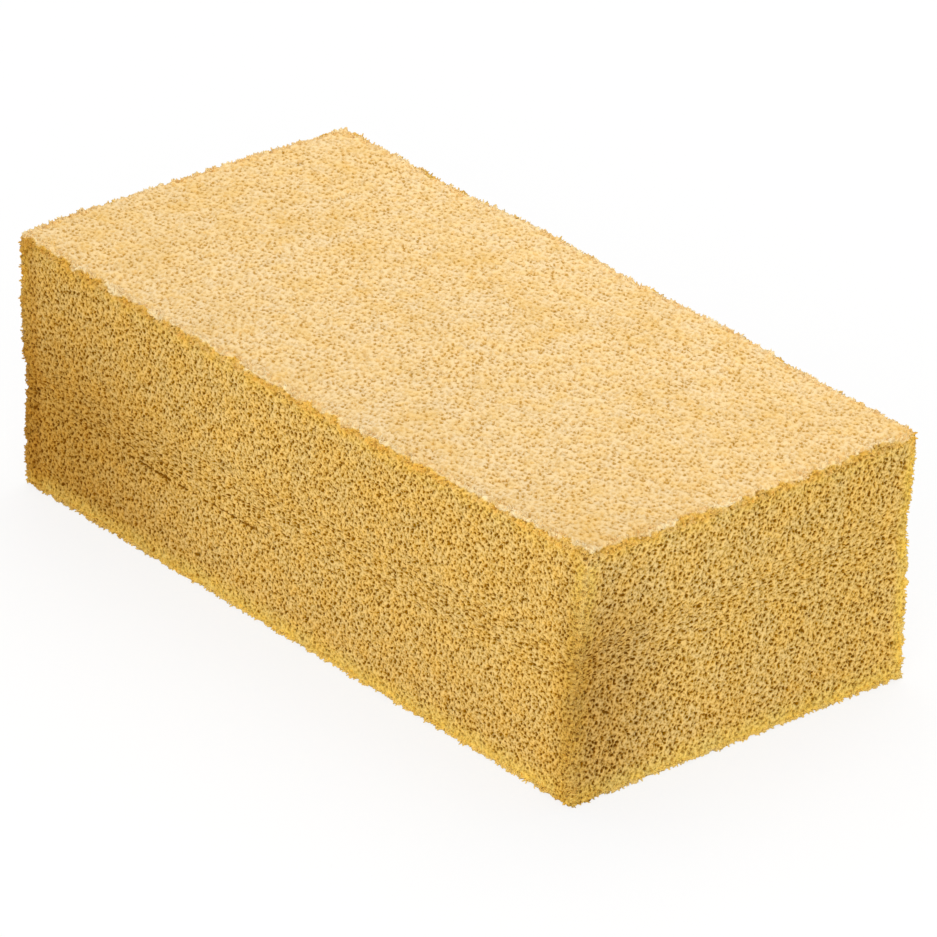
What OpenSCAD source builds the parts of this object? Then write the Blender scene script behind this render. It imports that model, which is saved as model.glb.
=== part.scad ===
// Cleaning sponge: one block of open-cell foam, sawn from a larger bun.
// The block is a single solid. Its long side lies along X, its width along Y,
// and it rests on its foot at Z = 0, with the origin below the middle of the block.
// All sizes are in millimetres and all angles in degrees.

/* [Block] */
// Length of the block, along X
block_length = 200; // [120:1:260]
// Width of the block, along Y
block_width = 99; // [60:1:140]
// Height of the block, from the foot to the middle of the rim
block_height = 64; // [46:1:90]

/* [Cut form] */
// Radius that sawing and handling leave on the edges
edge_radius = 1.2; // [0.6:0.1:2.4]
// How much shorter the foot is than the rim
foot_taper = 0.5; // [0:0.1:4]
// Turn of the rim against the foot
rim_twist = 1; // [0:0.1:2]
// Outward bow of the rim at the middle of each long side
side_bow = 1.7; // [0:0.1:3]
// Outward bow of the rim at the middle of the left end
left_bow = 2.7; // [0:0.1:4]
// Outward bow of the rim at the middle of the right end
right_bow = 0.5; // [0:0.1:3]
// How much lower the rim is at the right end than at the left end
right_drop = 2; // [0:0.1:4]
// How much lower the rim is on the back side than on the front side
back_drop = 2; // [0:0.1:4]
// Rise of the top face at its middle
crown_rise = 0.8; // [0:0.1:2]
// Height of the slow waves in the cut faces
wave_height = 0.45; // [0:0.05:0.8]
// Length of the slow waves
wave_length = 64; // [30:1:100]

/* [Crease] */
// Depth of the crease that a packing band pressed round the block
crease_depth = 0.65; // [0:0.05:2]
// Distance over which the crease fades out, above and below
crease_fade = 5; // [3:0.5:9]
// Height of the crease at the middle of the front side
crease_front = 31; // [22:1:40]
// Height of the crease at the middle of the back side
crease_back = 36; // [22:1:40]
// How much higher the crease is at the right end than at the left end
crease_climb = 7; // [0:1:8]

/* [Front corner] */
// Step by which the front corner stands out below the upper half of its edge
step_depth = 1.2; // [0:0.1:2]
// Height of the step
step_height = 37; // [20:1:40]
// Distance over which the step fades along each side
step_reach = 30; // [15:1:45]
// Depth of the soft dent in the right end, beside the front corner
dent_depth = 1.6; // [0:0.1:3]
// Radius of the dent
dent_radius = 9; // [5:0.5:14]
// Distance from the front corner to the middle of the dent
dent_inset = 10; // [5:0.5:20]
// Height of the middle of the dent
dent_height = 27; // [15:1:35]

/* [Pores] */
// Share of the panels of the sides and ends that hold one of the larger open pores
side_pore_share = 0.38; // [0:0.01:0.4]
// Share of the panels of the top and the foot that hold one
face_pore_share = 0.14; // [0:0.01:0.2]
// Radius of the smallest of the larger pores
pore_radius_min = 0.75; // [0.5:0.05:0.95]
// Radius of the largest pores
pore_radius_max = 1.35; // [1:0.05:1.5]
// Depth of a pore, for each millimetre of its radius
pore_depth_ratio = 1.7; // [1:0.1:2.5]
// Seed of the random pattern of pores
pore_seed = 19; // [1:1:99]

/* [Hidden] */
foam_colour = [0.88, 0.72, 0.43];
// The skin is laid out in about this many four-sided panels, never smaller than the least size
panel_count = 2400;
least_panel = 5;
corners = 4;
// Number of waves up a face, for each wave along it
cross_wave = 0.73;
// Distance over which the front corner steps across
step_fade = 5;
// Largest share of a panel's free room by which its pore sits off the middle
pore_stray = 0.9;
// Largest turn of a pore against its panel
pore_turn = 40;

skin_area = 2 * (block_length * block_width + (block_length + block_width) * block_height);
panel_step = max(least_panel, sqrt(skin_area / panel_count));

// Even steps from low to high, both included, about one panel long
function steps(low, high) =
    let (count = max(1, round((high - low) / panel_step)))
    [for (i = [0:count]) low + (high - low) * i / count];

// Panel lines across a side of the given length, with a narrow strip at each edge
function lines(length) =
    concat([-length / 2], steps(edge_radius - length / 2, length / 2 - edge_radius), [length / 2]);

x_lines = lines(block_length);
y_lines = lines(block_width);
// Levels of the panel rings. They run from 0 at the foot to 1 at the crease and 2 at the rim
crease_level = (crease_front + crease_back) / 2;
low_levels = [for (z = steps(edge_radius, crease_level)) z / crease_level];
high_levels = [for (z = steps(crease_level, block_height - edge_radius))
    1 + (z - crease_level) / (block_height - crease_level)];
levels = concat([0], low_levels, [for (i = [1:len(high_levels) - 1]) high_levels[i]], [2]);

nx = len(x_lines) - 1;
ny = len(y_lines) - 1;
nz = len(levels) - 1;
ring = 2 * (nx + ny);

function unit(v) = v / max(norm(v), 0.000001);
function clamp(v, low, high) = min(max(v, low), high);
function smooth(t) = let (s = clamp(t, 0, 1)) s * s * (3 - 2 * s);
// 1 at the middle of a side and 0 at its ends
function dome(v, length) = 1 - pow(clamp(2 * v / length, -1, 1), 2);
function bell(v, reach) = exp(-pow(v / reach, 2));
function wave(along, across) =
    wave_height * sin(360 * along / wave_length) * cos(360 * cross_wave * across / wave_length);
// Share of the height, 0 at the foot and 1 at the rim
function rise(z) = z / block_height;

// The crease climbs in a straight line from the front side to the back side, and from end to end
function crease_height(x, y) =
    crease_front
    + (crease_back - crease_front) * clamp(y / block_width + 0.5, 0, 1)
    + crease_climb * clamp(x / block_length, -0.5, 0.5);

// Height at which a panel ring passes the place x, y
function ring_height(x, y, level) =
    let (crease = crease_height(x, y))
    level < 1 ? crease * level : crease + (block_height - crease) * (level - 1);

// A point of the square box, pulled in to the box with round edges
function round_edges(p) =
    let (
        half = [block_length, block_width, block_height] / 2,
        middle = [0, 0, half.z],
        core = middle + [for (i = [0:2])
            clamp(p[i] - middle[i], edge_radius - half[i], half[i] - edge_radius)]
    )
    core + edge_radius * unit(p - core);

// The rim bows out, and the foot is a little shorter than the rim
function bow(p) =
    let (end_bow = p.x < 0 ? left_bow : right_bow)
    [
        p.x * (1 + 2 * end_bow / block_length * dome(p.y, block_width) * rise(p.z)
            - foot_taper / block_length * (1 - rise(p.z))),
        p.y * (1 + 2 * side_bow / block_width * dome(p.x, block_length) * rise(p.z)),
        p.z
    ];

// The saw ran a little out of true, so the top slopes, and it is slightly crowned
function slope(p) =
    let (
        crown = crown_rise * dome(p.x, block_length) * dome(p.y, block_width),
        drop = right_drop * p.x / block_length + back_drop * p.y / block_width
    )
    p + [0, 0, rise(p.z) * (crown - drop)];

// Slow waves run over every face but the foot, which is flat
function ripple(p) = p + rise(p.z) * [
    wave(p.y, p.z),
    wave(p.x, p.z + p.y),
    wave(p.x + wave_length / 5, p.y)
];

// The packing band squeezed all four sides at the crease
function pinch(p) =
    let (squeeze = 2 * crease_depth * bell(p.z - crease_height(p.x, p.y), crease_fade))
    [p.x * (1 - squeeze / block_length), p.y * (1 - squeeze / block_width), p.z];

// The dent lies in the right end, beside the front corner
function dent(p) =
    let (
        end_share = pow(max(0, 2 * p.x / block_length), 6),
        across = bell(p.y + block_width / 2 - dent_inset, dent_radius),
        up = bell(p.z - dent_height, dent_radius)
    )
    p - [dent_depth * end_share * across * up, 0, 0];

// The front corner stands out below the step, and comes back in line at the foot
function corner_step(p) =
    let (
        away = (block_length / 2 - p.x) + (p.y + block_width / 2),
        near = exp(-max(0, away) / step_reach),
        below = clamp(p.z / step_height, 0, 1) * (1 - smooth((p.z - step_height) / step_fade + 0.5)),
        amount = step_depth * near * below
    )
    p - [amount, amount, 0];

// The whole block turns a little from its foot to its rim
function twist(p) =
    let (turn = rim_twist * (rise(p.z) - 0.5))
    [p.x * cos(turn) - p.y * sin(turn), p.x * sin(turn) + p.y * cos(turn), p.z];

function skin_point(x, y, z) =
    twist(corner_step(dent(pinch(ripple(slope(bow(round_edges([x, y, z]))))))));

// A ring runs round the four sides, from the front left corner towards +X
function ring_x(m) =
    m <= nx ? m : m <= nx + ny ? nx : m <= 2 * nx + ny ? 2 * nx + ny - m : 0;
function ring_y(m) =
    m <= nx ? 0 : m <= nx + ny ? m - nx : m <= 2 * nx + ny ? ny : ring - m;
// Place in its ring of the border point at column i and row j
function ring_place(i, j) =
    j == 0 ? i : i == nx ? nx + j : j == ny ? 2 * nx + ny - i : (ring - j) % ring;

side_points = [for (level = levels) for (m = [0:ring - 1])
    let (x = x_lines[ring_x(m)], y = y_lines[ring_y(m)])
    skin_point(x, y, ring_height(x, y, level))];
face_points = [for (z = [0, block_height]) for (j = [1:ny - 1]) for (i = [1:nx - 1])
    skin_point(x_lines[i], y_lines[j], z)];
loose_points = concat(side_points, face_points);

// The uneven block is moved so that the origin lies below its middle
function middle_of(values) = (min(values) + max(values)) / 2;
block_middle = [middle_of([for (p = loose_points) p.x]), middle_of([for (p = loose_points) p.y]), 0];
skin_points = [for (p = loose_points) p - block_middle];

// Index of the point at column i and row j of the foot, side 0, or of the top, side 1
function face_index(i, j, side) =
    (i == 0 || i == nx || j == 0 || j == ny)
        ? side * nz * ring + ring_place(i, j)
        : len(side_points) + side * (nx - 1) * (ny - 1) + (j - 1) * (nx - 1) + i - 1;

// Panels list their corners anticlockwise, as seen from outside the block
side_panels = [for (k = [0:nz - 1]) for (m = [0:ring - 1])
    let (next = (m + 1) % ring)
    [k * ring + m, k * ring + next, (k + 1) * ring + next, (k + 1) * ring + m]];
top_panels = [for (j = [0:ny - 1]) for (i = [0:nx - 1])
    [face_index(i, j, 1), face_index(i + 1, j, 1), face_index(i + 1, j + 1, 1), face_index(i, j + 1, 1)]];
foot_panels = [for (j = [0:ny - 1]) for (i = [0:nx - 1])
    [face_index(i, j, 0), face_index(i, j + 1, 0), face_index(i + 1, j + 1, 0), face_index(i + 1, j, 0)]];
panels = concat(side_panels, top_panels, foot_panels);

function shortest_side(panel) =
    min([for (k = [0:corners - 1])
        norm(skin_points[panel[k]] - skin_points[panel[(k + 1) % corners]])]);

// A pore needs a panel that leaves a wall of foam all round it
least_side = 3 * pore_radius_max;
chance = rands(0, 1, len(panels), pore_seed);
is_open = [for (n = [0:len(panels) - 1])
    chance[n] < (n < len(side_panels) ? side_pore_share : face_pore_share)
        && shortest_side(panels[n]) > least_side];
open_panels = [for (n = [0:len(panels) - 1]) if (is_open[n]) panels[n]];
plain_panels = [for (n = [0:len(panels) - 1]) if (!is_open[n]) panels[n]];

// The rim of a pore has one uneven corner towards each corner of its panel, and its floor is one point
pore_radii = rands(pore_radius_min, pore_radius_max, corners * (len(open_panels) + 1), pore_seed + 1);
pore_shifts = rands(-1, 1, 3 * (len(open_panels) + 1), pore_seed + 2);
function pore_points(n) =
    let (
        panel = open_panels[n],
        p = [for (index = panel) skin_points[index]],
        right = unit(p[1] + p[2] - p[0] - p[3]),
        up = unit(p[2] + p[3] - p[0] - p[1]),
        room = pore_stray * (shortest_side(panel) / 2 - pore_radius_max),
        stray = room * (pore_shifts[3 * n] * right + pore_shifts[3 * n + 1] * up) / 2,
        middle = (p[0] + p[1] + p[2] + p[3]) / corners + stray,
        radii = [for (k = [0:corners - 1]) pore_radii[corners * n + k]],
        turn = pore_turn * pore_shifts[3 * n + 2],
        depth = pore_depth_ratio * (radii[0] + radii[2]) / 2
    )
    concat(
        [for (k = [0:corners - 1])
            let (angle = 225 + 90 * k + turn)
            middle + radii[k] * (cos(angle) * right + sin(angle) * up)],
        [middle - depth * unit(cross(right, up))]
    );

// Faces of a panel with a pore: a collar round its rim, then its walls down to its floor
function pore_faces(n) =
    let (panel = open_panels[n], rim = len(skin_points) + n * (corners + 1))
    [for (k = [0:corners - 1])
        let (next = (k + 1) % corners)
        each [
            [rim + next, panel[next], panel[k]],
            [rim + k, rim + next, panel[k]],
            [rim + corners, rim + next, rim + k]
        ]];

function plain_faces(panel) = [[panel[2], panel[1], panel[0]], [panel[3], panel[2], panel[0]]];

// The foam block, with its cut faces, its crease and its larger pores
module foam_block() {
    color(foam_colour)
        polyhedron(
            points = concat(
                skin_points,
                [for (n = [0:1:len(open_panels) - 1]) each pore_points(n)]
            ),
            faces = concat(
                [for (panel = plain_panels) each plain_faces(panel)],
                [for (n = [0:1:len(open_panels) - 1]) each pore_faces(n)]
            ),
            convexity = 10
        );
}

foam_block();
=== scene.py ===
# %% [markdown]
# # A cleaning sponge of coarse foam
#
# The real object is one block, sawn out of a large bun of open-cell foam and left bare. It has no
# cover, no core and no fittings, so all of its looks come from its skin: rounded cells that the
# saw cut open, the curved walls between them, and torn tips along the edges.
#
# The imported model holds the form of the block. This script dresses that form: it lays a fine
# skin over it, sinks the cells into the skin as real relief, and paints the foam with nodes that
# follow the same cells.

import math

import bpy
import numpy as np
from mathutils import Matrix, Vector
from mathutils.bvhtree import BVHTree


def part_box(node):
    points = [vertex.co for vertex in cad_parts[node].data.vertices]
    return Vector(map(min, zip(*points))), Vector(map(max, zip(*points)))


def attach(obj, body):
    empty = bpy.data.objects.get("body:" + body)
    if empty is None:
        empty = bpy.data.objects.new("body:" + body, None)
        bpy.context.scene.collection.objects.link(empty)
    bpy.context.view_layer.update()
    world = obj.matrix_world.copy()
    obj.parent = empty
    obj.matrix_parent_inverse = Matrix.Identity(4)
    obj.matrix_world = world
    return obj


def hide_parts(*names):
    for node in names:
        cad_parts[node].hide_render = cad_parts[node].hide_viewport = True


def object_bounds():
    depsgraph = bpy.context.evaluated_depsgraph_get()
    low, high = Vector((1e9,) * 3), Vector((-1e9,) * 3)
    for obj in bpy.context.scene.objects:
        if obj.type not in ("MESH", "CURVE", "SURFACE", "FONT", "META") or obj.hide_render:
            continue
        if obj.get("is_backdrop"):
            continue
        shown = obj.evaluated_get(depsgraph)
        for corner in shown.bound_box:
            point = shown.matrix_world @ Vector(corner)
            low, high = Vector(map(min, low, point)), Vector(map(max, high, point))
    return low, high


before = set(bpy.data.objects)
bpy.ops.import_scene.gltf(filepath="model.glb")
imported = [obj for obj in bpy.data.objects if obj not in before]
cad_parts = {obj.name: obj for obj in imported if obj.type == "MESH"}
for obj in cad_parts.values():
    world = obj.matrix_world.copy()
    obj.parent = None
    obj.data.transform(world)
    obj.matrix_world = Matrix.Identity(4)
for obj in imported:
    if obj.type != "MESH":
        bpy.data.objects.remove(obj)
cad_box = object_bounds()
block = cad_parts["foam_block"]
block_low, block_high = (np.array(corner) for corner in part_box("foam_block"))
block_size = block_high - block_low
MM = 0.001  # one millimetre, in Blender's metres
print("block:", (block_size / MM).round(1), "mm")

# %% [markdown]
# ## A skin that is fine enough for foam
#
# The cells are 1.2 mm apart, so the skin needs a point about every half millimetre. A
# subdivided cube would do, but its points would crowd where the faces are small. Here the skin is
# a box-shaped lattice instead: whole steps along the length, the width and the height, kept only
# on the outside. Points on an edge belong to two faces and are welded by giving every lattice
# point one number, so the skin is closed from the start.

# %% The lattice
STEPS = np.array([438, 221, 143])  # along the length, the width and the height
FACES = {  # the axis that each face is square to, and 1 if it is on the high side
    "right_end": (0, 1),
    "left_end": (0, 0),
    "back": (1, 1),
    "front": (1, 0),
    "top": (2, 1),
    "foot": (2, 0),
}


def lattice_face(axis, side):
    """The lattice points of one face in rows and columns that turn anticlockwise from outside."""
    across, up = (axis + 1) % 3, (axis + 2) % 3
    if side == 0:
        across, up = up, across
    points = np.zeros((STEPS[across] + 1, STEPS[up] + 1, 3), int)
    points[..., across] = np.arange(STEPS[across] + 1)[:, None]
    points[..., up] = np.arange(STEPS[up] + 1)[None, :]
    points[..., axis] = side * STEPS[axis]
    return points


def grid_quads(ids):
    """Four-cornered faces between the neighbours of a grid of point numbers."""
    return np.stack([ids[:-1, :-1], ids[1:, :-1], ids[1:, 1:], ids[:-1, 1:]], -1).reshape(-1, 4)


grids = {name: lattice_face(*face) for name, face in FACES.items()}
every_point = np.concatenate([grid.reshape(-1, 3) for grid in grids.values()])
number = every_point @ np.array([1, STEPS[0] + 1, (STEPS[0] + 1) * (STEPS[1] + 1)])
_, first, index = np.unique(number, return_index=True, return_inverse=True)
lattice = every_point[first]
ends = np.cumsum([grid.shape[0] * grid.shape[1] for grid in grids.values()])[:-1]
face_ids = {
    name: ids.reshape(grids[name].shape[:2]) for name, ids in zip(grids, np.split(index, ends))
}
quads = np.concatenate([grid_quads(ids) for ids in face_ids.values()])
print("skin:", len(lattice), "points,", len(quads), "faces")

# %% Each point's neighbours
# A closed skin names every edge once in each direction, so a point's edges lead to all of its
# neighbours. A corner of the block has only three, and takes itself as the fourth.
start, goal = quads.ravel(), np.roll(quads, -1, axis=1).ravel()
order = np.argsort(start, kind="stable")
start, goal = start[order], goal[order]
rank = np.arange(len(start)) - np.searchsorted(start, start)
neighbours = np.repeat(np.arange(len(lattice)), 4).reshape(-1, 4)
neighbours[start, rank] = goal


def smoothed(values, times):
    """The values, each moved half-way to the mean of its neighbours, again and again."""
    for _ in range(times):
        values = (values + values[neighbours].mean(1)) / 2
    return values


# %% [markdown]
# ## A bowed box that fits the block
#
# The block isn't a true box: its sides bow, its top slopes and its rim is twisted. The edges of a
# straight lattice would lie up to 3 mm beside the block's own. So each face is felt with a coarse
# grid of rays first, and a sheet that bends both ways is fitted through the hits by least
# squares. The lattice is stretched between opposite sheets, and its edges fall where they meet.

# %% Feel the six faces
APPROACH = 10 * MM  # how far outside the rays start
PROBES = 24  # rays along each direction of a face
PROBED = 0.92  # the share of a face that is felt, so that no ray slips past an edge
PIT = 0.3 * MM  # a hit that lies deeper than this is in a pore, and is left out of the second fit

surface = BVHTree.FromObject(block, bpy.context.evaluated_depsgraph_get())
middle = (block_low + block_high) / 2


def other_axes(axis):
    """The two axes that the faces square to this one lie along."""
    return [other for other in range(3) if other != axis]


def sheet_terms(u, v):
    """The nine terms of a sheet that bends both ways, at places from -1 to 1."""
    return np.stack([u**i * v**j for i in range(3) for j in range(3)], -1)


def fit_sheet(axis, side):
    """The weights of the terms that put a sheet through one face of the block."""
    across, up = other_axes(axis)
    u, v = (part.ravel() for part in np.meshgrid(*[np.linspace(-PROBED, PROBED, PROBES)] * 2))
    outward = 2 * side - 1
    starts = np.tile(middle + outward * (block_size / 2 + APPROACH), (len(u), 1))
    starts[:, across] = middle[across] + u * block_size[across] / 2
    starts[:, up] = middle[up] + v * block_size[up] / 2
    ray = (-outward * np.eye(3)[axis]).tolist()
    hits = np.array([surface.ray_cast(start, ray)[0][axis] for start in starts.tolist()])
    kept = np.ones(len(hits), bool)
    for _ in range(2):
        weights = np.linalg.lstsq(sheet_terms(u[kept], v[kept]), hits[kept], rcond=None)[0]
        kept = (hits - sheet_terms(u, v) @ weights) * outward > -PIT
    return weights


nominal = np.zeros(lattice.shape)
for axis in range(3):
    across, up = other_axes(axis)
    terms = sheet_terms(*(2 * lattice[:, other] / STEPS[other] - 1 for other in (across, up)))
    low_sheet, high_sheet = (terms @ fit_sheet(axis, side) for side in (0, 1))
    nominal[:, axis] = low_sheet + lattice[:, axis] / STEPS[axis] * (high_sheet - low_sheet)
print("bowed box:", (np.ptp(nominal, axis=0) / MM).round(1), "mm over its bows")

# %% [markdown]
# ## Laying the skin on the block
#
# The skin has to take the block's own form, with its waves, its creases and its soft dent. A
# shrinkwrap modifier could do it, but near an edge it pulls many points to the same place. Here a
# ray is sent in from every lattice point towards an inner box instead. The rays are square to the
# faces and fan out evenly round the edges.
#
# The block also carries large open pores. They are taken out of the form first, by letting the
# least depth spread and then the greatest, which is how a plasterer's float skips over a pit.
# What is left between the two depths is the pore itself, and it goes back in later. The rounding
# of the edges would be floated away as well, so its usual profile is set aside and added again.

# %% Depth of the block behind each lattice point
INSET = 12 * MM  # from the outside to the inner box

straight = block_low + lattice / STEPS * block_size
inward = np.clip(straight, block_low + INSET, block_high - INSET) - straight
inward /= np.linalg.norm(inward, axis=1)[:, None]
starts = (nominal - inward * APPROACH).tolist()
depth = np.array([surface.ray_cast(a, b)[3] for a, b in zip(starts, inward.tolist())]) - APPROACH
print("depth of the block:", (depth.min() / MM).round(2), "to", (depth.max() / MM).round(2), "mm")

# %% The smooth form and its pores
ROUND_STEPS = 6  # lattice steps that an edge's rounding takes up
PORE_STEPS = 4  # lattice steps across half of the widest pore
PORE_LIP = 0.9 * MM  # the flared rim of a pore that is left out
PORE_SHARPEN = 1.6  # makes up for the depth that the lip takes away
SMOOTH_TIMES = 10  # rounds of smoothing, which take away the float's steps

steps_in = np.sort(np.minimum(lattice, STEPS - lattice), axis=1)[:, 1]
rounding = np.array([np.median(depth[steps_in == step]) for step in range(ROUND_STEPS + 1)])
rounding = (rounding - rounding[-1])[np.minimum(steps_in, ROUND_STEPS)]
form_depth = depth - rounding
for choose in (np.minimum, np.maximum):
    for _ in range(PORE_STEPS):
        form_depth = choose(form_depth, choose.reduce(form_depth[neighbours], axis=1))
form_depth = smoothed(form_depth, SMOOTH_TIMES) + rounding
form = nominal + inward * form_depth[:, None]
pore = np.clip(depth - form_depth - PORE_LIP, 0, None) * PORE_SHARPEN
print("rounding of the edges:", (rounding.max() / MM).round(2), "mm")
print("points in pores:", int((pore > 0).sum()))

# %% How far each point is from an edge, and from the rim of the top
# Foam looks different near an edge, and the top is paler than the sides. The way to the rim is
# positive on the top and negative on the sides.
PITCH = float((block_size / STEPS).mean())  # metres in one lattice step

to_edge = steps_in * PITCH
steps_down = STEPS[2] - lattice[:, 2]
to_rim = np.where(steps_down == 0, steps_in, -steps_down) * PITCH
print("from point to point:", round(PITCH / MM, 2), "mm")

# %% Each point's place on its own flat face
# The foam's cells are looked up on flat faces, which are set apart in one long row. On the top and
# the foot the saw has pulled them long, slantwise to the edges.
APART = 300 * MM
PULL_ANGLE = math.radians(-41)  # from the length of the block
PULL_LONG, PULL_THIN = 1.4, 0.92  # the pulled cells against the others


def flat_places(name):
    """The places of a face's points along and up that face."""
    axis, _ = FACES[name]
    flat = form[face_ids[name].ravel()][:, [*other_axes(axis), axis]]
    flat[:, 2] = 0
    if axis == 2:
        cosine, sine = math.cos(PULL_ANGLE), math.sin(PULL_ANGLE)
        turn = np.array([(cosine, sine, 0), (-sine, cosine, 0), (0, 0, 1)])
        flat = flat @ turn.T / (PULL_LONG, PULL_THIN, 1)
    flat[:, 0] += APART * list(FACES).index(name)
    return flat


flat_place = np.zeros(form.shape)
for name, ids in face_ids.items():
    flat_place[ids.ravel()] = flat_places(name)
print("row of flat faces:", int(np.ptp(flat_place[:, 0]) / MM), "mm long")


# %% Build the smooth skin
def new_mesh(name, points, faces):
    """A mesh from arrays of points and of faces that all have the same number of corners."""
    mesh = bpy.data.meshes.new(name)
    mesh.from_pydata(points.tolist(), [], faces.tolist())
    return mesh


def normals_of(mesh):
    """The mesh's own normal at each point."""
    normals = np.zeros(len(mesh.vertices) * 3)
    mesh.vertex_normals.foreach_get("vector", normals)
    return normals.reshape(-1, 3)


def write(mesh, name, values):
    """Stores a number or a place for each point of a mesh, for nodes to read."""
    kind, field = ("FLOAT", "value") if values.ndim == 1 else ("FLOAT_VECTOR", "vector")
    mesh.attributes.new(name, kind, "POINT").data.foreach_set(field, values.ravel())


def add_object(name, data):
    """A new object in the scene, round a mesh, a lamp or a camera."""
    added = bpy.data.objects.new(name, data)
    bpy.context.scene.collection.objects.link(added)
    return added


skin_mesh = new_mesh("skin", form, quads)
form_normals = normals_of(skin_mesh)
for name, values in (("pore", pore), ("to_edge", to_edge), ("flat", flat_place)):
    write(skin_mesh, name, values)
skin_mesh.shade_smooth()
skin = add_object("skin", skin_mesh)
print("smooth skin:", (np.ptp(form, axis=0) / MM).round(1), "mm")

# %% [markdown]
# ## Sums with nodes
#
# The foam's pattern is a sum of noises, and it is needed twice: once to move the skin and once to
# colour it. Laid out by hand it would be some fifty nodes in each place. A small class wraps a
# socket and gives it Python's operators, so that `1 - mask * 0.5` adds its own Math nodes, and
# one function can write the same foam into a geometry tree and into a shader tree.


# %% A socket that does sums
class Link:
    """An output socket of a node tree, with Python's operators for numbers."""

    def __init__(self, socket):
        self.socket = socket
        self.tree = socket.id_data

    @staticmethod
    def make(tree, kind, settings=None, inputs=None, output=0):
        """Adds a node, sets what it is, feeds its sockets, and returns one of its outputs."""
        node = tree.nodes.new(kind)
        for name, value in (settings or {}).items():
            setattr(node, name, value)
        for name, value in (inputs or {}).items():
            if isinstance(value, Link):
                tree.links.new(value.socket, node.inputs[name])
            else:
                node.inputs[name].default_value = value
        return Link(node.outputs[output])

    def math(self, operation, *others, swap=False):
        """A Math node with this value first, or second if swap is set."""
        values = (self, *others)[::-1] if swap else (self, *others)
        return Link.make(self.tree, "ShaderNodeMath", {"operation": operation}, dict(enumerate(values)))

    def __add__(self, other):
        return self.math("ADD", other)

    def __sub__(self, other):
        return self.math("SUBTRACT", other)

    def __rsub__(self, other):
        return self.math("SUBTRACT", other, swap=True)

    def __mul__(self, other):
        return self.math("MULTIPLY", other)

    __radd__, __rmul__ = __add__, __mul__

    def step(self, low, high, to_low=0.0, to_high=1.0):
        """Eases from to_low at low to to_high at high, and holds outside."""
        inputs = {"Value": self, "From Min": low, "From Max": high, "To Min": to_low, "To Max": to_high}
        return Link.make(self.tree, "ShaderNodeMapRange", {"interpolation_type": "SMOOTHSTEP"}, inputs)

    def vector(self, operation, other=None, scale=None):
        """A Vector Math node with this vector first."""
        inputs = {0: self}
        if other is not None:
            inputs[1] = other
        if scale is not None:
            inputs["Scale"] = scale
        return Link.make(self.tree, "ShaderNodeVectorMath", {"operation": operation}, inputs)

    def axis(self, name):
        """One of a vector's X, Y and Z."""
        return Link.make(self.tree, "ShaderNodeSeparateXYZ", None, {0: self}, name)

    def noise(self, pitch, detail=0.0, output="Fac"):
        """Noise whose lumps are about pitch across, in this vector's unit."""
        inputs = {"Vector": self, "Scale": 1 / pitch, "Detail": detail}
        return Link.make(self.tree, "ShaderNodeTexNoise", None, inputs, output)

    def voronoi(self, pitch):
        """Cells scattered over X and Y, about pitch apart. The distance to a centre is in pitches."""
        settings = {"voronoi_dimensions": "2D"}
        inputs = {"Vector": self, "Scale": 1 / pitch, "Randomness": 0.8}
        return Link.make(self.tree, "ShaderNodeTexVoronoi", settings, inputs, "Distance")

    def beside(self, output):
        """Another output of this value's own node."""
        return Link(self.socket.node.outputs[output])

    def blend(self, other, way):
        """This value where way is 0, and the other where it is 1."""
        return self + (other - self) * way


# %% [markdown]
# ## The foam
#
# Foam is a crowd of bubbles that froze while it rose, and the saw has opened a layer of them. A
# Voronoi texture does the same: its cells are scattered, and the distance to the nearest centre
# is small in the hole and large in the walls. In three dimensions a cut would miss many centres
# and leave bald patches, so every face has a flat texture. A noise bends it first, so that no
# hole stays round and the walls curl, and a finer texture dimples the walls.
#
# Half-way up the sides the foam was once pressed, and its cells lie flattened in rows along that
# crease. They are looked up in a space of their own, which is squeezed in height. A few of them
# have torn into slits, and one row of slits runs along the front.

# %% The foam's cells
OFF_SQUARE = 0.5  # turns the cells, so that their rows don't follow the edges
CELL = 1.2  # from cell to cell, in mm
SMALL_CELL = 0.75
CURL = 0.32  # how far the walls are bent, in mm
CREASE_FRONT, CREASE_BACK = 31.0, 36.0  # height of the crease at the front and the back
CREASE_CLIMB = 7.0  # how much higher it is at the right end than at the left
CREASE_HALF, CREASE_FADE = 3.0, 8.0  # from its middle, where the cells are flat and where no more
FLAT_LONG, FLAT_HIGH = 1.5, 0.72  # the flattened cells against the others
SLIT_LONG, SLIT_HIGH = 3.0, 0.5  # size of the slits along the crease
ROW_Z, ROW_FROM, ROW_TO = 23.8, -62.0, -9.0  # the row of slits on the front

block_length, block_width = (float(size / MM) for size in block_size[:2])


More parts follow.
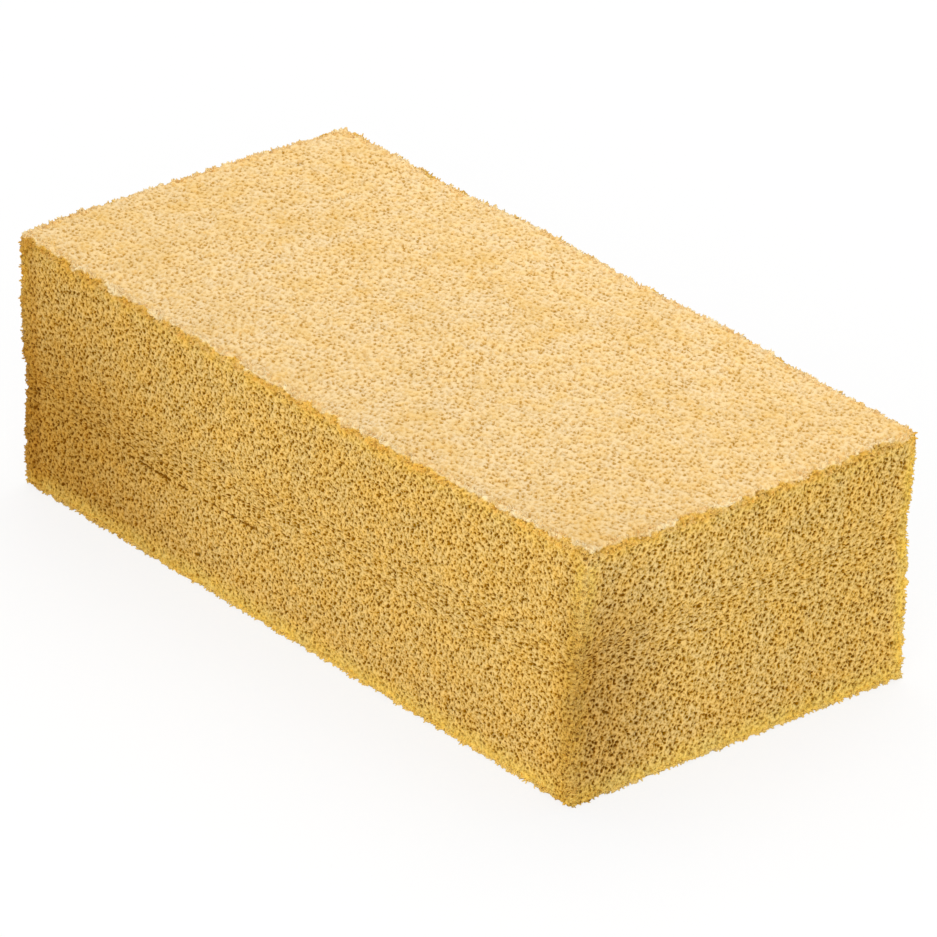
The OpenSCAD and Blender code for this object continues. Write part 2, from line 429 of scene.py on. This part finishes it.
def foam(place, flat):
    """Open holes, small holes and wall tops, 0 to 1, and each hole's chance, from places in mm."""
    x, y, z = (place.axis(name) for name in "XYZ")
    rough = place.noise(0.7) - 0.5
    crease = y * ((CREASE_BACK - CREASE_FRONT) / block_width) + x * (CREASE_CLIMB / block_length)
    off_crease = (z - crease - (CREASE_BACK + CREASE_FRONT) / 2).math("ABSOLUTE")
    pressed = (off_crease.step(CREASE_FADE, CREASE_HALF) + rough * 0.8).step(0.4, 0.6)

    # Round cells, and flattened ones where the foam is pressed, in the same bent space
    centred = place.noise(1.2, 1.0, "Color").vector("SUBTRACT", (0.5, 0.5, 0.5))
    curl = centred.vector("SCALE", scale=CURL * 2)
    bent = flat.vector("ADD", curl)
    turn = {"Vector": bent, "Angle": OFF_SQUARE}
    turned = Link.make(place.tree, "ShaderNodeVectorRotate", {"rotation_type": "Z_AXIS"}, turn)
    squeezed = bent.vector("MULTIPLY", (1 / FLAT_LONG, 1 / FLAT_HIGH, 1.0))
    open_cell, flat_cell = turned.voronoi(CELL), squeezed.voronoi(CELL)
    big = open_cell.blend(flat_cell, pressed)
    small = turned.voronoi(SMALL_CELL)

    # Every cell has a colour of its own, whose red is its chance: the lower, the wider its hole
    open_chance, flat_chance = (cell.beside("Color").axis("X") for cell in (open_cell, flat_cell))
    chance = open_chance.blend(flat_chance, pressed)
    hole = (big + rough * 0.25 + chance * 0.18).step(0.41, 0.25)
    little = (small + rough * 0.25).step(0.40, 0.20)

    # Slits here and there along the crease, and the row of them with its gaps
    slits = place.vector("MULTIPLY", (1 / SLIT_LONG, 1 / SLIT_LONG, 1 / SLIT_HIGH)).noise(1.0, 1.0)
    slits = slits.step(0.63, 0.72) * off_crease.step(7.0, 3.0) * 0.7
    row = (z + curl.axis("Z") * 2.0 - ROW_Z).math("ABSOLUTE").step(0.45, 0.10)
    row = row * y.step(-40.0, -45.0) * x.step(ROW_FROM, ROW_FROM + 4) * x.step(ROW_TO, ROW_TO - 4)
    row = row * (x * 0.3).noise(1.0).step(0.40, 0.46)

    ridge = (place.noise(0.85, 1.0) - 0.5).math("ABSOLUTE").step(0.07, 0.0)
    wall = (big * 0.6 + small * 0.45 + ridge * 0.2).step(0.22, 0.72)
    return hole.math("MAXIMUM", slits.math("MAXIMUM", row)), little, wall, chance * (1 - row)


# %% [markdown]
# ## Sinking the cells into the skin
#
# A displacement modifier moves points by a picture. Geometry nodes can move them by the foam's
# own sums instead, along the smooth form's normals, and the result is read back as plain points.

# %% The tree that moves the skin
HOLE_DEPTH, WALL_RISE = 0.5, 0.1  # in mm
RAGGED = 0.9  # how far the edges are torn in and out, in mm
RAGGED_REACH = 4.0  # how far from an edge that goes
# Next to the border between two pieces a hole stays shallow, or it would lay their inner walls open
BORDER_DEPTH, BORDER_SLOPE = 0.15, 0.7

tree = bpy.data.node_groups.new("sink the cells", "GeometryNodeTree")
tree.interface.new_socket("Geometry", in_out="INPUT", socket_type="NodeSocketGeometry")
tree.interface.new_socket("Geometry", in_out="OUTPUT", socket_type="NodeSocketGeometry")


def stored(name, kind="FLOAT"):
    """Values that the skin carries."""
    return Link.make(tree, "GeometryNodeInputNamedAttribute", {"data_type": kind}, {"Name": name})


pore_depth, edge_way = (stored(name) * (1 / MM) for name in ("pore", "to_edge"))
flat = stored("flat", "FLOAT_VECTOR").vector("SCALE", scale=1 / MM)
place = Link.make(tree, "GeometryNodeInputPosition").vector("SCALE", scale=1 / MM)

hole, _, wall, _ = foam(place, flat)
near_edge = edge_way.step(RAGGED_REACH, 0.0, 0.25, 1.0)
ragged = (place.noise(1.8, 1.0) - 0.5) * near_edge * RAGGED * 2
relief = wall * WALL_RISE - hole * HOLE_DEPTH + ragged - pore_depth
relief = relief.math("MAXIMUM", edge_way * -BORDER_SLOPE - BORDER_DEPTH)
offset = Link.make(tree, "GeometryNodeInputNormal").vector("SCALE", scale=relief * MM)
move = {"Geometry": Link.make(tree, "NodeGroupInput"), "Offset": offset}
moved = Link.make(tree, "GeometryNodeSetPosition", None, move)
output = tree.nodes.new("NodeGroupOutput")
tree.links.new(moved.socket, output.inputs[0])
print("nodes in the skin's tree:", len(tree.nodes))

# %% Move it, and read it back
skin.modifiers.new("sink the cells", "NODES").node_group = tree
sunk = skin.evaluated_get(bpy.context.evaluated_depsgraph_get()).to_mesh()
foamed = np.zeros(len(form) * 3)
sunk.vertices.foreach_get("co", foamed)
foamed = foamed.reshape(-1, 3)
foamed[:, 2] = np.maximum(foamed[:, 2], block_low[2])
foamed_normals = normals_of(sunk)
moved_by = ((foamed - form) * form_normals).sum(1) / MM
print("relief:", moved_by.min().round(2), "to", moved_by.max().round(2), "mm")
bpy.data.objects.remove(skin)

# %% [markdown]
# ## Six pieces from one skin
#
# One mesh of this fineness would be too heavy, so the skin is divided along the block's edges. Each
# part is closed with walls that run to the middle of the block, like the mitres of a picture frame, and
# is a solid piece of foam. Neighbours share their border points, so no gap opens between them. Every
# piece gets its own flat map for baking, which is simply its grid, with the inner walls in the margin.

# %% A piece's border and its flat map
WALL_STEP = 6 * MM  # how deep the inner walls go before they turn to the middle
MARGIN = 0.02  # of the flat map, round the face
WALL_WAYS = (0.016, 0.010, 0.009, 0.003)  # where the walls' two bands start and end in that margin


def border_of(rows, columns):
    """Row and column of each point round a grid's border, anticlockwise."""
    down, across = np.arange(rows), np.arange(columns)
    row = np.concatenate([down, np.full(columns, rows - 1), down[::-1], np.zeros(columns, int)])
    column = np.concatenate([np.zeros(rows, int), across, np.full(rows, columns - 1), across[::-1]])
    keep = np.append(True, (np.diff(row) != 0) | (np.diff(column) != 0))
    return row[keep][:-1], column[keep][:-1]


def wedge_map(rows, columns, row, column, outer_quads):
    """The flat map of a piece: its grid, with the band and the fan of its walls in the margin."""
    spots = np.meshgrid(np.linspace(0, 1, rows), np.linspace(0, 1, columns), indexing="ij")
    spots = np.stack(spots, -1)
    here, after = spots[row, column], spots[np.roll(row, -1), np.roll(column, -1)]
    halfway = (here + after) / 2
    side = np.abs(halfway - 0.5).argmax(1)
    each = np.arange(len(row))

    def in_margin(border, way):
        """Spots on the face's border, moved out into the margin beside their own side."""
        moved_out = MARGIN + border * (1 - 2 * MARGIN)
        moved_out[each, side] = np.where(halfway[each, side] > 0.5, 1 - way, way)
        return moved_out

    band_start, band_end, fan_start, fan_end = WALL_WAYS
    face = (MARGIN + spots.reshape(-1, 2) * (1 - 2 * MARGIN))[outer_quads.ravel()]
    band = [in_margin(after, band_start), in_margin(here, band_start)]
    band += [in_margin(here, band_end), in_margin(after, band_end)]
    fan = [in_margin(after, fan_start), in_margin(here, fan_start), in_margin(halfway, fan_end)]
    walls = [np.stack(corners, 1).reshape(-1, 2) for corners in (band, fan)]
    return np.concatenate([face, *walls])


# %% Make the six pieces
def foam_piece(name):
    """A closed wedge of the block behind one of its faces."""
    ids = face_ids[name]
    row, column = border_of(*ids.shape)
    ring = ids[row, column]
    outer = np.arange(ids.size).reshape(ids.shape)
    near, far, apex = outer[row, column], ids.size + np.arange(len(ring)), ids.size + len(ring)
    outer_quads = grid_quads(outer)
    band = np.stack([np.roll(near, -1), near, far, np.roll(far, -1)], -1)
    fan = np.stack([np.roll(far, -1), far, np.full(len(ring), apex)], -1)
    points = np.vstack([foamed[ids.ravel()], foamed[ring] + inward[ring] * WALL_STEP, middle])
    mesh = bpy.data.meshes.new(name)
    mesh.from_pydata(points.tolist(), [], outer_quads.tolist() + band.tolist() + fan.tolist())
    flat_map = wedge_map(*ids.shape, row, column, outer_quads)
    mesh.uv_layers.new(name="OFBake").data.foreach_set("uv", flat_map.ravel())

    def carried(values):
        """Values of the skin for every point of the piece. The inner points take their border's."""
        return np.concatenate([values[ids.ravel()], values[ring], values[ring[:1]]])

    mesh.shade_smooth()
    mesh.normals_split_custom_set_from_vertices(carried(foamed_normals).tolist())
    own_place = flat_place.copy()
    own_place[ids.ravel()] = flat_places(name)
    write(mesh, "rest", carried(form))
    write(mesh, "flat", carried(own_place))
    for label, values in (("pore", pore), ("to_edge", to_edge), ("to_rim", to_rim)):
        write(mesh, label, carried(values))
    piece = add_object("foam_" + name, mesh)
    print(piece.name, sum(len(face.vertices) - 2 for face in mesh.polygons), "triangles")
    return piece


foam_pieces = [foam_piece(name) for name in FACES]

# %% [markdown]
# ## Torn tips
#
# A saw tears foam more than it cuts it, most of all along the edges, where thin ends of the cell
# walls are left standing. They are what makes the outline of foam look soft. A hair system would
# make them, but hair has no surface to hand on. Each tip here is a bent, blunt, three-sided stub of
# fourteen triangles, rooted on a wall top and leaning a little out of the face's normal.

# %% The flat map of the tips
TIPS = 8000
SQUARE, SQUARE_EDGE = 3.3, 0.04  # room for one tip, three sides wide, and the gap beside it


def tips_map():
    """The flat map of all tips, with a small square for each. The ends lie above the sides."""
    columns = math.ceil(math.sqrt(TIPS))
    corner = np.stack(np.divmod(np.arange(TIPS), columns), -1)[:, None]
    low = [(i % 3, i // 3) for i in range(6)]
    side_maps = [[(u, v), (u + 1, v), (u, v + 1)] for u, v in low]
    side_maps += [[(u + 1, v), (u + 1, v + 1), (u, v + 1)] for u, v in low]
    end_maps = [[(u, 2.1), (u + 1, 2.1), (u + 0.5, 3)] for u in (0, 1.5)]
    one = np.array(sum(end_maps + side_maps, [])) / SQUARE + SQUARE_EDGE
    return (corner + one) / columns


# %% Make the tips
TIP_REACH = 2.0 * MM  # how far from an edge they grow
TIP_SHORT, TIP_LONG = 0.15 * MM, 0.8 * MM
TIP_ROOT = 0.4 * MM  # how deep they are set in
TIP_RADII = (0.26 * MM, 0.24 * MM, 0.12 * MM)  # at the root, the knee and the end
TIP_LEAN, TIP_BEND = 0.5, 0.35  # how far they stray from the normal, and from straight
ON_WALL = -0.1  # a point that has sunk further than this, in mm, is in a hole


def unit(vectors):
    """The vectors, each one long."""
    return vectors / np.linalg.norm(vectors, axis=-1, keepdims=True)


def torn_tips():
    """All tips in one mesh."""
    random = np.random.default_rng(5)
    under = (lattice[:, 2] == 0) & (steps_in > 0)
    free = (to_edge < TIP_REACH) & (moved_by > ON_WALL) & ~under
    chosen = random.choice(np.flatnonzero(free), TIPS, replace=False)
    lean = unit(form_normals[chosen] + random.normal(0, TIP_LEAN, (TIPS, 3)))
    bend = unit(lean + random.normal(0, TIP_BEND, (TIPS, 3)))
    length = (TIP_SHORT + (TIP_LONG - TIP_SHORT) * random.random(TIPS) ** 2)[:, None]
    aside = unit(np.cross(lean, random.normal(size=(TIPS, 3))))
    turns = np.arange(3)[:, None] * math.tau / 3
    ring = np.cos(turns) * aside[:, None] + np.sin(turns) * np.cross(lean, aside)[:, None]
    root = foamed[chosen] - lean * TIP_ROOT
    knee = root + lean * (TIP_ROOT + length / 2)
    middles = (root, knee, knee + bend * length / 2)
    points = np.concatenate([m[:, None] + ring * r for m, r in zip(middles, TIP_RADII)], 1)
    points[..., 2] = np.maximum(points[..., 2], block_low[2])

    # Two triangles for each of the six sides, and one for each end
    sides = [(base + j, base + (j + 1) % 3, base + 3 + j) for base in (0, 3) for j in range(3)]
    sides += [(b, b + 3, a + 3) for a, b, _ in sides]
    one_tip = np.array([(2, 1, 0), (6, 7, 8)] + sides)
    faces = (np.arange(TIPS)[:, None, None] * len(points[0]) + one_tip).reshape(-1, 3)
    mesh = new_mesh("tips", points.reshape(-1, 3), faces)
    mesh.shade_smooth()
    for label, values in (
        ("rest", form),
        ("flat", flat_place),
        ("to_edge", to_edge),
        ("to_rim", to_rim),
    ):
        write(mesh, label, np.repeat(values[chosen], len(points[0]), 0))
    mesh.uv_layers.new(name="OFBake").data.foreach_set("uv", tips_map().ravel())
    piece = add_object("torn_tips", mesh)
    print(piece.name, len(faces), "triangles")
    return piece


tips = torn_tips()

# %% [markdown]
# ## The colour of the foam
#
# The foam is golden yellow right through, and its slopes keep that colour. The wall tops get a painted
# highlight, nearly beige, and the open cells painted shade, brown. The top is painted paler, nearly
# cream, as strong light from above washes it out, and along the edges light comes through the thin
# walls, so the edges are painted brighter and their holes fainter.
#
# Subsurface scattering could carry that light, but it would blur the small cells as well. So the
# glow is mixed in here. Every point of the mesh carries its place, its ways to the nearest edge
# and to the rim of the top, and the depth of its pore, and the nodes read them from there.


# %% Mixing colours
def colour_mix(factor, first, second, blend="MIX"):
    """A Mix node for colours. first and second are links, or a red, green and blue."""
    fed = [c if isinstance(c, Link) else (*c, 1.0) for c in (first, second)]
    tree = next(v.tree for v in (factor, first, second) if isinstance(v, Link))
    settings = {"data_type": "RGBA", "blend_type": blend}
    return Link.make(tree, "ShaderNodeMix", settings, {0: factor, 6: fed[0], 7: fed[1]}, 2)


# %% The foam's material and what it reads
material = bpy.data.materials.new("golden foam")
material.use_nodes = True
tree = material.node_tree
shader = tree.nodes["Principled BSDF"]


def attribute(name, output):
    """A value that the mesh carries."""
    return Link.make(tree, "ShaderNodeAttribute", {"attribute_name": name}, None, output)


place, flat = (attribute(name, "Vector").vector("SCALE", scale=1 / MM) for name in ("rest", "flat"))
edge_way, rim_way, pore_depth = (
    attribute(name, "Fac") * (1 / MM) for name in ("to_edge", "to_rim", "pore")
)
x, y, z = (place.axis(name) for name in "XYZ")
hole, little, wall, chance = foam(place, flat)
print("nodes of the foam's cells:", len(tree.nodes))

# %% [markdown]
# ## Masks
#
# A mask is 1 where something holds and 0 where it doesn't. Textures painted by hand could do
# this, but sums stay sharp and need no picture. All lengths in them are millimetres on the block,
# and a slow noise makes the borders wander, so that nothing ends in a straight line.

# %% Where the foam is worn, dented or lit through
DENT_Y, DENT_Z, DENT_REACH = -44.0, 27.0, 30.0  # the shaded dent on the right end

drift = place.noise(5.0, 3.0, "Color")
wander, amber, broad = (drift.axis(name) - 0.5 for name in "XYZ")
top = (rim_way + wander * 8.0).step(-0.6, 0.4)
side = 1 - top
pit = pore_depth.step(0.0, 0.5)

# Painted shade along the front right corner, over the left of the front, and in the dent
corner_shade = x.step(86.0, 99.0) * y.step(-34.0, -48.0) * z.step(58.0, 30.0, 0.3, 1.0) * side
left = x.step(-15.0, -88.0) * y.step(0.0, -50.0) * z.step(62.0, 22.0, 0.35, 1.0) * side
left = left * (z + wander * 4.0).step(1.5, 6.5, 0.35, 1.0)
dent_way = (y - DENT_Y).math("POWER", 2.0) + (z - DENT_Z).math("POWER", 2.0) * 0.45
dent = dent_way.math("SQRT").step(DENT_REACH, 2.0) * x.step(92.0, 100.0)

# Painted light through the edges and under the rim, least at the back left and in painted shade
back_left = x.step(60.0, -60.0) * y.step(-30.0, 30.0)
glow = (edge_way + wander * 3.0).step(5.5, 1.0) * (1 - corner_shade * 0.6) * (1 - left * 0.7)
glow = glow * (top + side * rim_way.step(-1.0, -6.0) * (1 - back_left * 0.45)) * (amber + 0.95)
foot_glow = (z + wander * 4.0).step(8.0, 1.5) * edge_way.step(14.0, 9.0) * side * 0.55
under_rim = (rim_way + wander * 8.0).step(-5.0, -0.5) * side * amber.step(-0.2, 0.1, 0.25, 1.0)

# Painted highlights along the edges and round the top, and the holes' painted shade, fainter in the
# glow
outline = (edge_way + wander * 2.0).step(1.6, 0.0) * rim_way.step(-1.0, -4.0) * (1 - corner_shade)
rim_highlight = (rim_way + wander * 2.5).step(2.5, 0.3) * top * (0.4 + amber.step(0.05, -0.05) * 0.6)
dark = hole.math("MAXIMUM", little * 0.35) * (1 - glow.math("MAXIMUM", under_rim) * 0.6)

# %% The sides
# The wall tops get a painted highlight, the holes painted shade, and the edges and the band under the
# rim painted glow.
SIDE_WALL, SIDE_TIP_HIGHLIGHT = (0.74, 0.47, 0.11), (0.87, 0.62, 0.245)
SIDE_HOLE_SHADE, SIDE_DEEP_SHADE = (0.37, 0.17, 0.0), (0.24, 0.10, 0.0)
EDGE_GLOW, RIM_GLOW, PALE_EDGE_HIGHLIGHT = (0.99, 0.75, 0.18), (0.93, 0.59, 0.10), (1.0, 0.84, 0.50)

side_colour = colour_mix(wall, SIDE_WALL, SIDE_TIP_HIGHLIGHT)
side_colour = colour_mix((glow * 0.75).math("MAXIMUM", foot_glow), side_colour, EDGE_GLOW)
side_colour = colour_mix(under_rim * 0.5, side_colour, RIM_GLOW)
side_colour = colour_mix(outline * 0.35, side_colour, PALE_EDGE_HIGHLIGHT)
side_hole_shade = colour_mix((chance * 1.6).math("MAXIMUM", pit), SIDE_DEEP_SHADE, SIDE_HOLE_SHADE)
side_colour = colour_mix(dark.math("MAXIMUM", pit), side_colour, side_hole_shade)

# %% The top
# Painted light: the top is paler than the sides, as strong light from above washes it out.
# It is tinted in broad patches, near both ends and between its walls, and its holes are faint.
# The wall tops get a painted highlight, and the holes and the tint between the walls are painted shade.
TOP_WALL, TOP_TIP_HIGHLIGHT, TOP_HOLE_SHADE = (0.83, 0.575, 0.27), (0.925, 0.70, 0.375), (0.53, 0.27, 0.03)
TOP_TINT = (0.80, 0.50, 0.14)

tint = place.noise(14.0, 2.0).step(0.48, 0.70) * 0.25 + x.math("ABSOLUTE").step(55.0, 90.0) * 0.1
tint = tint + amber.step(-0.05, 0.20) * 0.15 + wall.step(0.6, 0.1) * 0.3
top_hole_shade = dark.step(0.15, 1.0) * chance.step(0.85, 0.25) * 0.78
top_colour = colour_mix(wall, TOP_WALL, TOP_TIP_HIGHLIGHT)
top_colour = colour_mix(tint, top_colour, TOP_TINT)
top_colour = colour_mix(rim_highlight * (wall * 0.5 + 0.4), top_colour, PALE_EDGE_HIGHLIGHT)
top_colour = colour_mix(top_hole_shade.math("MAXIMUM", pit), top_colour, TOP_HOLE_SHADE)
# Painted light: the top grows a little brighter towards the back.
top_colour = colour_mix(1.0, top_colour, y * 0.0007 + 1.0, "MULTIPLY")

# %% [markdown]
# ## Tints and painted shade over the whole block
#
# Broad marks lie over the block: patches of amber and straw that differ at random, and a warmer front.
# Painted light lies over it too: a warmer right end that widens the painted glow at its back edge, and
# painted shade over the left of the front, along its left edge, in the dent and along the front right
# corner. They could be mixed into every colour above.
# Here each is one Multiply over the finished colour, so the cells stay as clear as they were.

# %% Both colours together, and the tints and painted shade over them
AMBER, STRAW = (1.03, 0.97, 0.80), (0.99, 1.01, 1.10)
FRONT_SHADE, END_TINT_AND_GLOW = (1.02, 0.97, 0.82), (0.99, 0.95, 0.78)
DENT_PAINTED_SHADE, CORNER_PAINTED_SHADE = (0.63, 0.55, 0.45), (0.98, 0.94, 0.80)
LEFT_PAINTED_SHADE, LEFT_EDGE_PAINTED_SHADE = (0.69, 0.58, 0.36), (0.85, 0.77, 0.62)

patches = colour_mix((amber * (1 - top * 0.5)).step(-0.2, 0.2), STRAW, AMBER)
front = y.step(-30.0, -50.0) * x.step(101.0, 97.0) * side
# A warmer right end, strongest at its back edge, where it widens the painted glow
right_end = x.step(92.0, 99.0) * y.step(-45.0, 45.0, 0.35, 1.0) * side
# Painted shade along the left edge of the front
left_edge = x.step(-90.0, -95.0) * x.step(-101.0, -97.0) * y.step(-44.0, -49.0) * side
colour = colour_mix(top, side_colour, top_colour)
for mask, shade in (
    (1.0, broad * 0.1 + 1.0),
    (1.0, patches),
    (front, FRONT_SHADE),
    (right_end, END_TINT_AND_GLOW),
    # The last four are painted shade: in the dent, deepest in its holes, over the left of the front,
    # along its left edge and along the front right corner
    (dent * (dark * 0.6 + 0.7), DENT_PAINTED_SHADE),
    (left, LEFT_PAINTED_SHADE),
    (left_edge, LEFT_EDGE_PAINTED_SHADE),
    (corner_shade, CORNER_PAINTED_SHADE),
):
    colour = colour_mix(mask, colour, shade, "MULTIPLY")
tree.links.new(colour.socket, shader.inputs["Base Color"])

# %% [markdown]
# ## Relief that is finer than the skin
#
# With a point every half millimetre the skin rounds its cells off a little. More points would make it
# too heavy, so the last of the relief is bump, which only bends the light. It comes from the same holes
# and walls as the colour and the skin, so all three agree, and it adds a fine grain. The top, which is
# painted paler and is smoother, has less of it.

# %% Bump and gloss
GRAIN_PITCH = 0.45  # in mm

grain = place.noise(GRAIN_PITCH)
height = (wall * 0.2 - hole * 0.3 - little * 0.15 + grain * 0.08) * (1 - top * 0.6)
bump = Link.make(tree, "ShaderNodeBump", None, {"Strength": 0.6, "Distance": MM, "Height": height})
tree.links.new(bump.socket, shader.inputs["Normal"])
shader.inputs["Roughness"].default_value = 0.9
shader.inputs["Specular IOR Level"].default_value = 0.05
print("nodes in the foam's material:", len(tree.nodes))

# %% [markdown]
# ## Tying the pieces to the block
#
# The six pieces stand together for the one solid, and each of them is foam right through. The
# tips only ride on it. All of them have the foam's material and its slot.

# %% What every piece is
for piece in foam_pieces:
    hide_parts("foam_block")
for piece in (*foam_pieces, tips):
    piece.data.materials.append(material)
    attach(piece, "root")
    print(piece.name, "is dressed")

# %% [markdown]
# ## Floor, light and camera
#
# The block stands on a white ground, which keeps a soft shadow beside it. A white floor alone
# would come out grey, and more light would burn out the foam. So part of the floor's paint shines,
# but only to the camera, and throws no light on the block.
#
# The light is even. A pale world fills the open cells, a large lamp above the far corner lights
# the top, and another near the camera brings out the sides.
#
# The camera stands where the photograph was taken from. Its place and its long lens were found
# by fitting the seven corners of the block that can be seen.

# %% The floor
FLOOR_HALF = 4.0  # metres
SHINING = 0.8  # the share of the paint that shines

floor_corners = np.array([(-1, -1, 0), (1, -1, 0), (1, 1, 0), (-1, 1, 0)]) * FLOOR_HALF
floor_mesh = new_mesh("floor", floor_corners, np.array([(0, 1, 2, 3)]))
floor = add_object("floor", floor_mesh)
floor_paint = bpy.data.materials.new("pale floor")
floor_paint.use_nodes = True
tree = floor_paint.node_tree
paint = tree.nodes["Principled BSDF"]
paint.inputs["Base Color"].default_value = (0.94, 0.94, 0.94, 1)
paint.inputs["Roughness"].default_value = 0.9
paint.inputs["Specular IOR Level"].default_value = 0.0
seen = Link.make(tree, "ShaderNodeLightPath", None, None, "Is Camera Ray")
white = Link.make(tree, "ShaderNodeEmission", None, {"Color": (1, 1, 1, 1), "Strength": 1.0})
shares = {0: seen * SHINING, 1: Link(paint.outputs[0]), 2: white}
mixed = Link.make(tree, "ShaderNodeMixShader", None, shares)
tree.links.new(mixed.socket, tree.nodes["Material Output"].inputs["Surface"])
floor_mesh.materials.append(floor_paint)
floor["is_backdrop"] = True
print("floor:", 2 * FLOOR_HALF, "m wide")

# %% The lights
AMBIENT = 0.60  # the world's strength on the block. To the camera it is plain white

world = bpy.data.worlds.new("studio")
bpy.context.scene.world = world
world.use_nodes = True
tree = world.node_tree
seen = Link.make(tree, "ShaderNodeLightPath", None, None, "Is Camera Ray")
tree.links.new((seen * (1 - AMBIENT) + AMBIENT).socket, tree.nodes["Background"].inputs["Strength"])
tree.nodes["Background"].inputs["Color"].default_value = (1, 1, 1, 1)


def lamp(name, size, power, place, target=(0, 0, 0.03)):
    """A square area light at a place, turned to a target."""
    data = bpy.data.lights.new(name, "AREA")
    data.size = size
    data.energy = power
    lamp_object = add_object(name, data)
    lamp_object.location = place
    lamp_object.rotation_euler = (Vector(target) - Vector(place)).to_track_quat("-Z", "Y").to_euler()
    print(name, round((Vector(target) - Vector(place)).length, 2), "m away")


lamp("top light", size=1.2, power=9, place=(-0.35, 0.45, 1.3))
lamp("front light", size=1.0, power=12, place=(1.08, -1.07, 0.75))

# %% The camera
AZIMUTH, ELEVATION, ROLL = 49.313, 27.230, -1.104  # degrees
DISTANCE, SLIDE, DROP = 2.0750, 0.00327, 0.00271  # metres back, aside and down
AIM_HEIGHT = 0.0315
FOCAL_PIXELS, FRAME_PIXELS = 9000, 937

azimuth, elevation, roll = (math.radians(angle) for angle in (AZIMUTH, ELEVATION, ROLL))
back = Vector((
    math.sin(azimuth) * math.cos(elevation),
    -math.cos(azimuth) * math.cos(elevation),
    math.sin(elevation),
))
right = Vector((0, 0, 1)).cross(back).normalized()
down = -back.cross(right)
place = Vector((0, 0, AIM_HEIGHT)) + right * SLIDE + down * DROP + back * DISTANCE
rolled_right = right * math.cos(roll) + down * math.sin(roll)
rolled_down = down * math.cos(roll) - right * math.sin(roll)
camera_data = bpy.data.cameras.new("camera")
camera_data.sensor_width = 36
camera_data.lens = FOCAL_PIXELS / FRAME_PIXELS * camera_data.sensor_width
print("camera:", round(camera_data.lens), "mm lens,", DISTANCE, "m away")
camera = add_object("camera", camera_data)
axes = Matrix((rolled_right, -rolled_down, back)).transposed()
camera.matrix_world = Matrix.Translation(place) @ axes.to_4x4()
bpy.context.scene.camera = camera
bpy.context.scene.view_settings.view_transform = "Standard"

# %% [markdown]
# ## Sizes
#
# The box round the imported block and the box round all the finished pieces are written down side
# by side, to show that the foam's relief and tips stay close to the block.

# %% Write the two boxes
boxes = {"cad_box": cad_box, "visual_box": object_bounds()}
for name, (low, high) in boxes.items():
    print(name, [round(v / MM, 1) for v in (*low, *high)])
